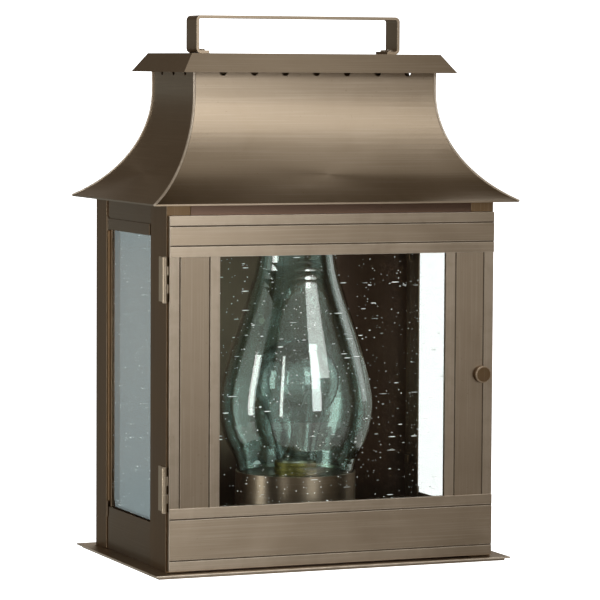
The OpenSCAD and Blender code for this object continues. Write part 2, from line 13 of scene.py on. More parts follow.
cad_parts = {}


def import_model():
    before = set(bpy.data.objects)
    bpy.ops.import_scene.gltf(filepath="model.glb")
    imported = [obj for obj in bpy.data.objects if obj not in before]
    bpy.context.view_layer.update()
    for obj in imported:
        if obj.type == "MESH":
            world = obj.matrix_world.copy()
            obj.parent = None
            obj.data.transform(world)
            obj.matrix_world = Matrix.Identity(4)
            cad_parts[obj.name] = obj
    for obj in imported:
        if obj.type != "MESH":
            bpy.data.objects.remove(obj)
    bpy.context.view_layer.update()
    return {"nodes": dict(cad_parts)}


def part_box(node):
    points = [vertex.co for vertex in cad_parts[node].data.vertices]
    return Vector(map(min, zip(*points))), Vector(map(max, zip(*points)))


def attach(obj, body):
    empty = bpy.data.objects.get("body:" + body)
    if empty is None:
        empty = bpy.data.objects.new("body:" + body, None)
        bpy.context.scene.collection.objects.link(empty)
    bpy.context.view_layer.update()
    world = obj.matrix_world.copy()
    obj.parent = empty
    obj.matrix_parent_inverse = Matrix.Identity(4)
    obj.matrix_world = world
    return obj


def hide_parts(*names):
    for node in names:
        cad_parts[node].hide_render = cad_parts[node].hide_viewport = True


MM = 0.001
Color = tuple[float, float, float, float]
EdgeTest = Callable[[bmesh.types.BMEdge], bool]
log = logging.getLogger("lantern")


# ---- node trees --------------------------------------------------------------------------


class Value:
    """A node's output socket that takes Python's arithmetic."""

    def __init__(self, graph: "Graph", socket: bpy.types.NodeSocket) -> None:
        """Keeps the socket and the tree that it is in."""
        self.graph = graph
        self.socket = socket

    def _math(self, operation: str, *terms: "Value | float") -> "Value":
        """Adds a Math node that works on the given terms, in their order."""
        return self.graph.node("ShaderNodeMath", {"operation": operation}, dict(enumerate(terms)))

    def __add__(self, other: "Value | float") -> "Value":
        """The sum."""
        return self._math("ADD", self, other)

    def __sub__(self, other: "Value | float") -> "Value":
        """The difference."""
        return self._math("SUBTRACT", self, other)

    def __rsub__(self, other: float) -> "Value":
        """A number less this value."""
        return self._math("SUBTRACT", other, self)

    def __mul__(self, other: "Value | float") -> "Value":
        """The product."""
        return self._math("MULTIPLY", self, other)

    def __pow__(self, other: float) -> "Value":
        """This value raised to a power."""
        return self._math("POWER", self, other)

    __radd__ = __add__
    __rmul__ = __mul__

    def smaller(self, other: "Value | float") -> "Value":
        """The smaller of the two."""
        return self._math("MINIMUM", self, other)

    def larger(self, other: "Value | float") -> "Value":
        """The larger of the two."""
        return self._math("MAXIMUM", self, other)

    def cosine(self) -> "Value":
        """The cosine."""
        return self._math("COSINE", self)

    def sine(self) -> "Value":
        """The sine."""
        return self._math("SINE", self)

    def between(self, low: float, high: float) -> "Value":
        """Rises smoothly from 0 to 1 as this value goes from low to high."""
        settings = {"interpolation_type": "SMOOTHSTEP"}
        return self.graph.node("ShaderNodeMapRange", settings, {0: self, 1: low, 2: high, 3: 0.0, 4: 1.0})


class Graph:
    """A node tree and the one method that adds a node to it."""

    def __init__(self, tree: bpy.types.NodeTree) -> None:
        """Empties the tree."""
        self.tree = tree
        tree.nodes.clear()

    def node(self, kind: str, settings: dict | None = None, inputs: dict | None = None,
             output: int | str = 0) -> Value | None:
        """Adds a node.

        Args:
            kind: Blender's name of the node's type.
            settings: The node's own properties, set first.
            inputs: Values or links of its sockets, by name or number. A list fills a socket
                that takes several links.
            output: The output socket that is wanted.

        Returns:
            That output, or None for a node without outputs.
        """
        made = self.tree.nodes.new(kind)
        for name, value in (settings or {}).items():
            setattr(made, name, value)
        for key, value in (inputs or {}).items():
            links = value if isinstance(value, list) else [value]
            for link in links:
                if isinstance(link, Value):
                    self.tree.links.new(link.socket, made.inputs[key])
                else:
                    made.inputs[key].default_value = link
        return Value(self, made.outputs[output]) if len(made.outputs) else None

    def other(self, value: Value, output: int | str) -> Value:
        """Another output of the node that a value comes from."""
        return Value(self, value.socket.node.outputs[output])

    def mix(self, factor: Value | float, a: Value | Color, b: Value | Color) -> Value:
        """Mixes two colours by a factor."""
        return self.node("ShaderNodeMix", {"data_type": "RGBA"}, {0: factor, 6: a, 7: b}, 2)

    def bump(self, height: Value, strength: float, distance: float, under: Value | None = None) -> Value:
        """A bumped normal, over another one if given."""
        inputs = {"Strength": strength, "Distance": distance, "Height": height}
        if under is not None:
            inputs["Normal"] = under
        return self.node("ShaderNodeBump", None, inputs)

    def noise(self, place: Value, scale: float, detail: float = 2.0, distortion: float = 0.0) -> Value:
        """A noise of about 0 to 1 at a place."""
        inputs = {"Vector": place, "Scale": scale, "Detail": detail, "Distortion": distortion}
        return self.node("ShaderNodeTexNoise", None, inputs)

    def stretched(self, place: Value, scale: tuple[float, float, float]) -> Value:
        """A place with each of its axes scaled."""
        return self.node("ShaderNodeMapping", None, {"Vector": place, "Scale": scale})


class Finish:
    """A named material whose tree is written by paint()."""

    name: str

    def make(self) -> bpy.types.Material:
        """Makes the material and gives it back."""
        material = bpy.data.materials.new(self.name)
        material.use_nodes = True
        graph = Graph(material.node_tree)
        place = graph.node("ShaderNodeTexCoord", output="Object")
        graph.node("ShaderNodeOutputMaterial", None, {"Surface": self.paint(graph, place)})
        return material

    def paint(self, graph: Graph, place: Value) -> Value:
        """Writes the tree and gives back its shader."""
        raise NotImplementedError


# ---- finishes ----------------------------------------------------------------------------


class Grain(Enum):
    """The way that a sheet was brushed, as its axis and the turn of its highlights."""

    ALONG_X = ((1, 0, 0), 0.25)
    ALONG_Y = ((0, 1, 0), 0.25)
    ALONG_Z = ((0, 0, 1), 0.0)
    ROUND_Z = ((1, 1, 0), 0.25)


class Tone(Enum):
    """How far a piece of brass has been browned, and for two tones how much painted shade it carries. Lists
    the record slot, then the bright colour (worn edges, brushing streaks and painted highlight), the body
    colour and the darkest colour (patina, and painted shade where asked).
    """

    ANTIQUE = ("antique_brass", (0.90, 0.81, 0.68, 1), (0.42, 0.345, 0.26, 1), (0.235, 0.18, 0.115, 1))
    # A shaded copy of the antique brass: painted shade, for sheets that sit in shade.
    DARK = ("dark_brass", (0.60, 0.48, 0.35, 1), (0.22, 0.146, 0.08, 1), (0.11, 0.072, 0.038, 1))
    BRIGHT = ("bright_brass", (0.95, 0.86, 0.72, 1), (0.66, 0.57, 0.44, 1), (0.38, 0.30, 0.20, 1))
    # A still darker copy: deeper painted shade, for sheets under the eave and inside the body.
    DEEP_SHADED = ("dark_brass", (0.30, 0.21, 0.155, 1), (0.20, 0.132, 0.098, 1), (0.10, 0.064, 0.046, 1))


@dataclass(frozen=True)
class BrushedBrass(Finish):
    """Sheet brass, brushed one way and browned by patina. Its edges are worn bright and also carry a painted
    highlight. Its scored lines carry painted shade, and where asked its ends do too.
    """

    tone: Tone
    grain: Grain
    roughness: float = 0.37
    # Painted shade towards the sheet's ends along X, where the highlight falls off.
    dull_ends: float = 0.0
    half_span: float = 150 * MM
    hair_scales: tuple[float, float] = (14.0, 1050.0)
    band_scales: tuple[float, float] = (5.0, 170.0)
    # Near-black brown laid into scored lines: painted shade.
    groove_shade_color: Color = (0.035, 0.024, 0.015, 1)

    @property
    def name(self) -> str:
        """The material's name."""
        return f"brass_{self.tone.name}_{self.grain.name}".lower()

    def _along(self, scales: tuple[float, float]) -> tuple[float, ...]:
        """A noise's scales on the three axes, from its scales along and across the grain."""
        lengthwise, across = scales
        return tuple(lengthwise if axis else across for axis in self.grain.value[0])

    def paint(self, graph: Graph, place: Value) -> Value:
        """Streaks run along the grain and clouds of patina lie over them. Edges are painted bright, as worn
        brass and as a highlight. Scored lines get painted shade, and so may the ends.
        """
        _, worn_and_sheen, body, aged_and_shaded = self.tone.value
        _, turn = self.grain.value
        hair = graph.noise(graph.stretched(place, self._along(self.hair_scales)), 1.0, 3.0)
        band = graph.noise(graph.stretched(place, self._along(self.band_scales)), 1.0, 2.0)
        cloud = graph.noise(place, 26.0, 4.0, 0.5)
        fleck = graph.noise(place, 520.0, 2.0).between(0.69, 0.78)
        # Rounded edges and worn strips are painted brighter and less metallic, as worn brass and as a
        # painted highlight.
        edge = graph.node("ShaderNodeAttribute", {"attribute_name": "wear"}, output="Fac")
        # Scored lines are marked for painted shade.
        grime = graph.node("ShaderNodeAttribute", {"attribute_name": "grime"}, output="Fac")
        patchy = graph.noise(place, 120.0, 3.0).between(0.28, 0.60)
        x = graph.node("ShaderNodeSeparateXYZ", None, {0: place}) * (1 / self.half_span)
        # Painted shade: the ends along X go towards the darkest colour, where the highlight falls off.
        ends = (x * x).between(0.25, 1.1) * self.dull_ends
        patina_and_shade = ((1 - cloud) * 0.75 + (1 - band) * 0.16 - 0.26 + ends).smaller(1.0).larger(0.0)
        color = graph.mix(patina_and_shade * 0.8, body, aged_and_shaded)
        color = graph.mix(hair.between(0.45, 0.78) * 0.11, color, worn_and_sheen)
        color = graph.mix(fleck * 0.4, color, aged_and_shaded)
        # Painted highlight and worn brass: rounded edges go towards the bright colour, in patches.
        color = graph.mix(edge * (patchy * 0.4 + 0.6), color, worn_and_sheen)
        # Painted shade: scored lines go towards the near-black brown.
        color = graph.mix(grime * 0.62, color, self.groove_shade_color)
        rough = hair * 0.08 + cloud * 0.09 + (self.roughness - 0.09) - edge * 0.07 + grime * 0.3
        scratches = graph.bump(hair * 0.8 + band * 0.4, 0.16, 0.05 * MM)
        relief = graph.bump(graph.noise(place, 16.0, 2.0), 0.12, 0.6 * MM, scratches)
        # Less metallic on rounded edges, so that they read as a painted highlight.
        return graph.node("ShaderNodeBsdfPrincipled", None, {
            "Base Color": color, "Metallic": 1 - edge * 0.4, "Roughness": rough, "Normal": relief,
            "Anisotropic": 0.55, "Anisotropic Rotation": turn})


@dataclass(frozen=True)
class SeededPane(Finish):
    """Hand-rolled clear glass, a little wavy, that mirrors strongly at a slant."""

    name: str = "seeded_pane"
    tint: Color = (0.972, 0.985, 0.98, 1)
    mirror: Color = (0.92, 0.98, 1.0, 1)
    faced: float = 0.010
    slanted: float = 0.65

    def paint(self, graph: Graph, place: Value) -> Value:
        """Clear where it is faced, mirroring at a slant."""
        wave = graph.bump(graph.noise(place, 22.0, 1.5, 0.3), 0.10, 1.2 * MM)
        slant = graph.node("ShaderNodeLayerWeight", None, {"Blend": 0.5, "Normal": wave}, "Facing")
        clear = graph.node("ShaderNodeBsdfTransparent", None, {"Color": self.tint})
        gloss = graph.node("ShaderNodeBsdfGlossy", None, {
            "Color": self.mirror, "Roughness": 0.03, "Normal": wave})
        factor = slant ** 2.0 * self.slanted + self.faced
        return graph.node("ShaderNodeMixShader", None, {0: factor, 1: clear, 2: gloss})


@dataclass(frozen=True)
class BlownGlass(Finish):
    """Blown glass with a slightly rippled wall, which lets the lamp's light straight through."""

    name: str
    tint: Color
    shade: Color
    ripple: float = 0.7
    ripple_scales: tuple[float, float, float] = (30.0, 30.0, 9.0)
    bend: float = 1.15
    shine: float = 2.3

    def paint(self, graph: Graph, place: Value) -> Value:
        """Bends what is seen through it, and only tints the light that falls through it."""
        drawn = graph.stretched(place, self.ripple_scales)
        wave = graph.bump(graph.noise(drawn, 1.0, 2.0, 0.6), self.ripple, 2.0 * MM)
        glass = graph.node("ShaderNodeBsdfPrincipled", None, {
            "Base Color": self.tint, "Transmission Weight": 1.0, "IOR": self.bend, "Roughness": 0.03,
            "Coat Weight": 1.0, "Coat Roughness": 0.04, "Coat IOR": self.shine, "Normal": wave})
        clear = graph.node("ShaderNodeBsdfTransparent", None, {"Color": self.shade})
        lit = graph.node("ShaderNodeLightPath", output="Is Shadow Ray")
        return graph.node("ShaderNodeMixShader", None, {0: lit, 1: glass, 2: clear})


@dataclass(frozen=True)
class Bubble(Finish):
    """The skin of a bubble in glass, with a painted glint: a pale skin and a faint emission stand in for the
    light that it catches from all round.
    """

    name: str = "glass_bubble"
    skin: tuple[Color, Color] = ((0.55, 0.62, 0.60, 1), (0.95, 1.0, 0.98, 1))
    # Emission colours: a painted glint, because the bubbles are no lamps.
    painted_glint: tuple[Color, Color] = ((0.14, 0.16, 0.15, 1), (0.95, 1.0, 0.97, 1))

    def paint(self, graph: Graph, place: Value) -> Value:
        """Pale, glossy and faintly glowing as a painted glint, some bubbles brighter than others."""
        lot = graph.noise(place, 70.0, 1.0).between(0.35, 0.65)
        color = graph.mix(lot, *self.skin)
        painted_glint = graph.mix(lot, *self.painted_glint)
        # The pale skin and the emission are a painted glint for the light that the bubbles catch.
        return graph.node("ShaderNodeBsdfPrincipled", None, {
            "Base Color": color, "Roughness": lot * 0.2 + 0.12, "Coat Weight": 0.6,
            "Emission Color": painted_glint, "Emission Strength": 1.0})


@dataclass(frozen=True)
class Plain(Finish):
    """A finish with two colours in soft patches, a fine grain and a little relief."""

    name: str
    color: Color
    second: Color
    roughness: float
    metallic: float = 0.0
    coat: float = 0.0
    patch: float = 60.0
    grain: float = 900.0
    relief: float = 0.03 * MM

    def paint(self, graph: Graph, place: Value) -> Value:
        """Patches in colour, a grain in roughness and relief."""
        patch = graph.noise(place, self.patch, 4.0, 0.3)
        grain = graph.noise(place, self.grain, 2.0)
        color = graph.mix(patch.between(0.3, 0.7), self.color, self.second)
        return graph.node("ShaderNodeBsdfPrincipled", None, {
            "Base Color": color, "Metallic": self.metallic, "Coat Weight": self.coat,
            "Roughness": grain * 0.14 + (self.roughness - 0.07),
            "Normal": graph.bump(grain, 0.4, self.relief)})


@dataclass(frozen=True)
class Coat:
    """A material and the record's slot that it belongs to."""

    material: bpy.types.Material
    slot: str


class Palette:
    """Makes each finish of the lantern once, and names its slot in the record."""

    def __init__(self) -> None:
        """Makes the finishes that aren't brass."""
        self._brass: dict[tuple[Tone, Grain, float], Coat] = {}
        self.pane = Coat(SeededPane().make(), "seedy_glass")
        self.bubble = Coat(Bubble().make(), "seedy_glass")
        self.chimney = Coat(BlownGlass(
            "chimney_glass", (0.745, 0.885, 0.845, 1), (0.93, 0.98, 0.965, 1)).make(), "chimney_glass")
        self.lamp = Coat(BlownGlass(
            "lamp_glass", (0.95, 0.985, 0.98, 1), (0.98, 0.99, 0.99, 1)).make(), "lamp_glass")
        self.porcelain = self._plain(
            "porcelain", (0.86, 0.83, 0.76), (0.80, 0.76, 0.68), 0.18, coat=0.5)
        self.rubber = self._plain("black_rubber", (0.03, 0.03, 0.03), (0.045, 0.043, 0.04), 0.62)
        self.zinc = self._plain(
            "zinc_steel", (0.60, 0.60, 0.58), (0.42, 0.43, 0.43), 0.34, 1.0, patch=300.0)
        self.tungsten = self._plain("tungsten", (0.40, 0.39, 0.37), (0.28, 0.27, 0.26), 0.35, 1.0)
        self.cap_metal = self._plain("lamp_base", (0.66, 0.60, 0.48), (0.50, 0.44, 0.33), 0.30, 1.0)
        self.drawn_brass = self._plain(
            "socket_brass", (0.40, 0.29, 0.09), (0.24, 0.165, 0.045), 0.36, 1.0)
        self.solder = Coat(Plain(
            "bright_solder", (0.86, 0.78, 0.66, 1), (0.70, 0.61, 0.49, 1), 0.34, 0.5).make(),
            "bright_brass")
        self.green = self._plain("green_screw", (0.05, 0.24, 0.10), (0.08, 0.18, 0.08), 0.36, 0.6)

    @staticmethod
    def _plain(name: str, first: tuple, second: tuple, roughness: float, metallic: float = 0.0,
               **more: float) -> Coat:
        """Makes a plain finish that is named after its slot."""
        return Coat(Plain(name, (*first, 1), (*second, 1), roughness, metallic, **more).make(), name)

    def brass(self, tone: Tone, grain: Grain, dull_ends: float = 0.0) -> Coat:
        """Brushed brass of a tone and grain."""
        key = (tone, grain, dull_ends)
        if key not in self._brass:
            self._brass[key] = Coat(BrushedBrass(tone, grain, dull_ends=dull_ends).make(), tone.value[0])
        return self._brass[key]


# ---- mesh work ---------------------------------------------------------------------------


def settle(piece: bpy.types.Object) -> bpy.types.Object:
    """Turns a piece with modifiers into a plain mesh.

    Args:
        piece: An object that is in the scene.

    Returns:
        The same object, with what its modifiers gave as its own mesh.
    """
    depsgraph = bpy.context.evaluated_depsgraph_get()
    mesh = bpy.data.meshes.new_from_object(piece.evaluated_get(depsgraph), depsgraph=depsgraph)
    piece.modifiers.clear()
    piece.data = mesh
    return piece


def add_object(name: str, mesh: bpy.types.Mesh) -> bpy.types.Object:
    """Puts a mesh into the scene as an object at the origin."""
    piece = bpy.data.objects.new(name, mesh)
    bpy.context.scene.collection.objects.link(piece)
    return piece


@dataclass(frozen=True)
class EdgeRounding:
    """Rounds the sharp outer edges of a piece and marks them to be painted bright, as worn brass and as a
    highlight. Marks its scores to be painted dark, as shade.
    """

    width: float = 0.42 * MM
    segments: int = 2
    sharp: float = math.radians(38)
    groove: float = 1.3 * MM
    strip: tuple[float, float] = (5 * MM, 8.5 * MM)
    # How brightly worn strips and rounded edges are painted, as worn brass and as a painted highlight.
    strip_wear: float = 0.0
    edge_wear: float = 1.0
    keep_off: EdgeTest | None = None

    def copy_of(self, source: bpy.types.Mesh, name: str) -> bpy.types.Object:
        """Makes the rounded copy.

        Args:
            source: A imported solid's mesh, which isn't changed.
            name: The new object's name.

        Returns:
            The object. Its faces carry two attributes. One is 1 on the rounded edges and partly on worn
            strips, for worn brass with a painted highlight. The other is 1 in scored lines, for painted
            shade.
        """
        work = bmesh.new()
        work.from_mesh(source)
        wear = work.faces.layers.float.new("wear")
        grime = work.faces.layers.float.new("grime")
        bmesh.ops.remove_doubles(work, verts=work.verts, dist=0.001 * MM)
        bmesh.ops.dissolve_limit(
            work, angle_limit=math.radians(0.4), verts=work.verts, edges=work.edges)
        for face in work.faces:
            breadth = face.calc_area() / max(edge.calc_length() for edge in face.edges)
            # Narrow faces beside an inner corner are marked for painted shade.
            face[grime] = float(breadth < self.groove and any(map(self._is_inner, face.edges)))
            # Worn strips and sheet rims are marked to be painted bright, as worn brass and as a painted
            # highlight.
            face[wear] = self.strip_wear * float(self.strip[0] < breadth < self.strip[1])
            if breadth < self.groove and self._is_rim(face):
                face[wear] = self.edge_wear
        edges = [edge for edge in work.edges if self._takes_wear_and_sheen(edge)]
        rounded = bmesh.ops.bevel(
            work, geom=edges, offset=self.width, offset_type="OFFSET", segments=self.segments,
            profile=0.5, affect="EDGES", clamp_overlap=True)
        for face in rounded["faces"]:
            # Rounded faces are marked to be painted bright, as worn brass and as a painted highlight.
            face[wear] = self.edge_wear
            face[grime] = 0.0
        for face in work.faces:
            face.smooth = True
        mesh = bpy.data.meshes.new(name)
        work.to_mesh(mesh)
        work.free()
        mesh.set_sharp_from_angle(angle=self.sharp)
        piece = add_object(name, mesh)
        modifier = piece.modifiers.new("flat_faces", "WEIGHTED_NORMAL")
        modifier.keep_sharp = True
        return settle(piece)

    def _is_inner(self, edge: bmesh.types.BMEdge) -> bool:
        """Whether an edge is a sharp inner corner, whose scored line is painted dark as shade."""
        return edge.is_manifold and not edge.is_convex and edge.calc_face_angle(0.0) > self.sharp

    def _is_rim(self, face: bmesh.types.BMFace) -> bool:
        """Whether a face lies mostly between worn edges, as the cut edge of a sheet does."""
        worn = sum(edge.calc_length() for edge in face.edges if self._takes_wear_and_sheen(edge))
        return worn > 0.5 * sum(edge.calc_length() for edge in face.edges)

    def _takes_wear_and_sheen(self, edge: bmesh.types.BMEdge) -> bool:
        """Whether an edge is an outer corner that hands and cloths rub, and that is rounded and painted
        bright as a highlight.
        """
        if not edge.is_manifold or not edge.is_convex or edge.calc_face_angle(0.0) < self.sharp:
            return False
        return self.keep_off is None or not self.keep_off(edge)


class Growth(Graph):
    """A Geometry Nodes tree with named inputs, run once for a plain mesh."""

    def __init__(self, name: str, **sizes: float | int) -> None:
        """Makes the tree, its inputs and its group nodes.

        Args:
            name: The tree's name.
            sizes: The named inputs and their values. Whole numbers make whole-number inputs.
        """
        super().__init__(bpy.data.node_groups.new(name, "GeometryNodeTree"))
        self.sizes = sizes
        faces = self.tree.interface
        faces.new_socket("Geometry", in_out="INPUT", socket_type="NodeSocketGeometry")
        faces.new_socket("Geometry", in_out="OUTPUT", socket_type="NodeSocketGeometry")
        self.sockets = {}
        for key, value in sizes.items():
            kind = "NodeSocketInt" if isinstance(value, int) else "NodeSocketFloat"
            self.sockets[key] = faces.new_socket(key, in_out="INPUT", socket_type=kind)
        self.group = self.tree.nodes.new("NodeGroupInput")

    def size(self, key: str) -> Value:
        """A named input."""
        return Value(self, self.group.outputs[key])

    def vector(self, x: Value | float, y: Value | float, z: Value | float) -> Value:
        """A vector of three values."""
        return self.node("ShaderNodeCombineXYZ", None, {0: x, 1: y, 2: z})

    def random(self, low: float, high: float, seed: int) -> Value:
        """A random number for each element, with a fixed seed."""
        return self.node("FunctionNodeRandomValue", {"data_type": "FLOAT"}, {2: low, 3: high, 8: seed}, 1)

    def tube(self, path: Value, radius: Value, sides: int) -> Value:
        """A closed tube along a curve."""
        ring = self.node("GeometryNodeCurvePrimitiveCircle", {"mode": "RADIUS"}, {
            "Resolution": sides, "Radius": radius})
        return self.node("GeometryNodeCurveToMesh", None, {0: path, 1: ring, "Fill Caps": True})

    def grow(self, name: str, geometry: Value, material: bpy.types.Material) -> bpy.types.Object:
        """Ends the tree and runs it.

        Args:
            name: The new object's name.
            geometry: What the tree has made.
            material: The finish that it is set in.

        Returns:
            An object with a plain mesh and no modifier.
        """
        real = self.node("GeometryNodeRealizeInstances", None, {0: geometry})
        smooth = self.node("GeometryNodeSetShadeSmooth", None, {0: real})
        painted = self.node("GeometryNodeSetMaterial", None, {0: smooth, "Material": material})
        self.node("NodeGroupOutput", None, {0: painted})
        piece = add_object(name, bpy.data.meshes.new(name))
        modifier = piece.modifiers.new(name, "NODES")
        modifier.node_group = self.tree
        for key, value in self.sizes.items():
            modifier[self.sockets[key].identifier] = value
        return settle(piece)


# ---- sub-assemblies ----------------------------------------------------------------------


@dataclass
class SubAssembly:
    """Pieces of one kind on one body."""

    palette: Palette
    nodes: dict[str, bpy.types.Object]
    body: str = "cabin"
    made: list[str] = field(default_factory=list)

    def build(self) -> None:
        """Builds and dresses the pieces."""
        raise NotImplementedError

    def brass(self, tone: Tone, grain: Grain, dull_ends: float = 0.0) -> Coat:
        """Brushed brass."""
        return self.palette.brass(tone, grain, dull_ends)

    def paint(self, coat: Coat, *names: str) -> None:
        """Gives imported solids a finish."""
        for name in names:
            self.nodes[name].data.materials.clear()
            self.nodes[name].data.materials.append(coat.material)
            self.made.append(name)

    def add(self, piece: bpy.types.Object, coat: Coat, *stands_for: str) -> bpy.types.Object:
        """Dresses a new piece and lets it ride.

        Args:
            piece: An object with its place in its mesh.
            coat: Its finish and slot.
            stands_for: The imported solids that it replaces.

        Returns:
            The same object.
        """
        piece.data.materials.clear()
        piece.data.materials.append(coat.material)
        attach(piece, self.body)
        if stands_for:
            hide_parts(*stands_for)
        self.made.append(piece.name)
        return piece

    def soften(self, coat: Coat, *names: str, **rounding_sizes: float | EdgeTest) -> None:
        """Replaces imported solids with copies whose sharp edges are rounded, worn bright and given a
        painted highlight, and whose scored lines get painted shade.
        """
        rounding = EdgeRounding(**rounding_sizes)
        for name in names:
            self.add(rounding.copy_of(self.nodes[name].data, f"{name}_rounded"), coat, name)

    def report(self) -> None:
        """Logs what was made."""
        log.info("%s: %s", type(self).__name__, ", ".join(self.made))


@dataclass
class Cabin(SubAssembly):
    """The base, posts, panels and back of the lantern's body."""

    def build(self) -> None:
        """Dresses each sheet with its grain along its length."""
        # Each call's edge figure sets how brightly rounded edges are painted, as worn brass and as a painted
        # highlight.
        self.soften(self.brass(Tone.ANTIQUE, Grain.ALONG_X), "base_plate", "base_hem", edge_wear=0.85)
        # Posts, side sills and headers take the shaded tone: painted shade.
        self.soften(self.brass(Tone.DARK, Grain.ALONG_Z), "post_front_left", "post_front_right",
                    "post_rear_left", "post_rear_right", edge_wear=0.35)
        self.soften(self.brass(Tone.DARK, Grain.ALONG_Y), "side_sill_left", "side_sill_right",
                    "side_header_left", "side_header_right", width=0.25 * MM, edge_wear=0.3)
        # Front header, front sill, glass clips and back panel take the shaded tones: painted shade under the
        # eave and inside the body.
        self.soften(self.brass(Tone.DEEP_SHADED, Grain.ALONG_X), "front_header", "front_sill", edge_wear=0.2)
        self.soften(self.brass(Tone.DARK, Grain.ALONG_Z), "glass_clips_left", "glass_clips_right",
                    width=0.2 * MM, edge_wear=0.1)
        self.soften(self.brass(Tone.DEEP_SHADED, Grain.ALONG_Z), "back_panel")


@dataclass
class Roof(SubAssembly):
    """The flared roof, its soldered hips, the vented cap and the carry handle."""

    hollow: float = 85.2 * MM
    neck_inset: float = 30.9 * MM
    overhang: float = 13.3 * MM
    bead: float = 0.95 * MM
    bead_lift: float = 0.8 * MM
    mitre_gap: float = 0.1 * MM
    middle: float = 0.0
    eave_x: float = 0.0
    eave_y: float = 0.0

    def build(self) -> None:
        """Dresses the four sides, runs solder down the hips, and dresses the cap."""
        low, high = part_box("roof_front")
        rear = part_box("roof_rear")[1].y
        self.middle = (low.y + rear) / 2
        self.eave_x = high.x
        self.eave_y = rear - self.middle
        # The front and rear roof take painted shade towards their ends, where the highlight falls off.
        self.soften(self.brass(Tone.ANTIQUE, Grain.ALONG_X, 0.8), "roof_front", "roof_rear",
                    keep_off=self._on_hip)
        self.soften(self.brass(Tone.ANTIQUE, Grain.ALONG_Y), "roof_left", "roof_right",
                    keep_off=self._on_hip)
        self.add(self._hips(high.z), self.palette.solder)
        self.soften(self.brass(Tone.ANTIQUE, Grain.ALONG_X), "vent_cap", width=0.6 * MM)
        # The straps take the shaded tone: painted shade.
        self.soften(self.brass(Tone.DARK, Grain.ALONG_Y), "cap_straps")
        self.soften(self.brass(Tone.ANTIQUE, Grain.ALONG_X), "carry_handle", width=0.5 * MM)
        self.soften(self.brass(Tone.BRIGHT, Grain.ALONG_Z), "handle_rivets", width=0.5 * MM, segments=3)

    def _on_hip(self, edge: bmesh.types.BMEdge) -> bool:
        """Whether an edge lies in one of the four mitres."""
        return all(
            abs(abs(v.co.x) - self.eave_x - abs(v.co.y - self.middle) + self.eave_y) < self.mitre_gap
            for v in edge.verts)

    def _hips(self, top: float) -> bpy.types.Object:
        """Runs a bead of solder down each hip, from the neck's top to the eave.

        Args:
            top: Height of the neck's top.

        Returns:
            The four beads as one object.
        """
        sweep = math.acos((self.hollow - self.neck_inset - self.overhang) / self.hollow)
        rise = self.hollow * math.sin(sweep)
        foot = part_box("roof_front")[0].z
        tree = Growth("hip_solder", Hollow=self.hollow, Sweep=sweep, Bead=self.bead,
                      Rise=rise, Neck=top - foot - rise)
        arc = tree.node("GeometryNodeCurveArc", {"mode": "RADIUS"}, {
            "Resolution": 40, "Radius": tree.size("Hollow"), "Start Angle": math.pi,
            "Sweep Angle": tree.size("Sweep")})
        x = tree.node("ShaderNodeSeparateXYZ", None, {0: tree.node("GeometryNodeInputPosition")})
        outward = (x + tree.size("Hollow")) * math.sqrt(2)
        height = tree.other(x, 1) + tree.size("Rise")
        arc = tree.node("GeometryNodeSetPosition", None, {
            0: arc, "Position": tree.vector(outward, 0.0, height)})
        neck = tree.node("GeometryNodeCurvePrimitiveLine", None, {
            "Start": tree.vector(0.0, 0.0, tree.size("Rise")),
            "End": tree.vector(0.0, 0.0, tree.size("Rise") + tree.size("Neck"))})
        lines = tree.node("GeometryNodeJoinGeometry", None, {0: [arc, neck]})
        tube = tree.tube(lines, tree.size("Bead"), 8)
        piece = tree.grow("roof_hip_solder", tube, self.palette.solder.material)
        return self._at_corners(piece, foot)

    def _at_corners(self, piece: bpy.types.Object, foot: float) -> bpy.types.Object:
        """Sets one bead at each of the roof's four corners, merged into one mesh."""
        inset_x = self.eave_x - self.overhang - self.neck_inset
        inset_y = self.eave_y - self.overhang - self.neck_inset
        merged = bmesh.new()
        for way_x in (-1, 1):
            for way_y in (-1, 1):
                part = piece.data.copy()
                turn = math.atan2(way_y, way_x)
                corner = Vector((way_x * inset_x, self.middle + way_y * inset_y, foot + self.bead_lift))
                part.transform(Matrix.Translation(corner) @ Matrix.Rotation(turn, 4, "Z"))
                merged.from_mesh(part)
                bpy.data.meshes.remove(part)
        merged.to_mesh(piece.data)
        merged.free()
        return piece


@dataclass
class Door(SubAssembly):
    """The hinged door's stiles, rails, leaves and clips."""

    body: str = "door"

    def build(self) -> None:
        """Dresses the door's sheets, each brushed along its length."""
        # Worn strips on the stiles and rails are painted bright too, as worn brass and as a painted
        # highlight.
        self.soften(self.brass(Tone.ANTIQUE, Grain.ALONG_Z), "door_stile_left", "door_stile_right",
                    width=0.3 * MM, strip_wear=0.22)
        self.soften(self.brass(Tone.ANTIQUE, Grain.ALONG_X), "door_rail_top", "door_rail_bottom",
                    width=0.3 * MM, strip_wear=0.12)
        # The glass clips take the shaded tone: painted shade.
        self.soften(self.brass(Tone.DARK, Grain.ALONG_Z), "door_glass_clips", width=0.2 * MM)
        self.soften(self.brass(Tone.BRIGHT, Grain.ALONG_Z), "door_leaf_upper", "door_leaf_lower",
                    width=0.2 * MM)


@dataclass
class Hinges(SubAssembly):
    """The hinges' fixed leaves and pins."""

    def build(self) -> None:
        """Dresses the leaves and pins."""
        self.soften(self.brass(Tone.BRIGHT, Grain.ALONG_Z), "hinge_leaf_upper", "hinge_leaf_lower",
                    width=0.2 * MM)
        self.soften(self.brass(Tone.BRIGHT, Grain.ALONG_Z), "hinge_pin_upper", "hinge_pin_lower",
                    width=0.2 * MM)


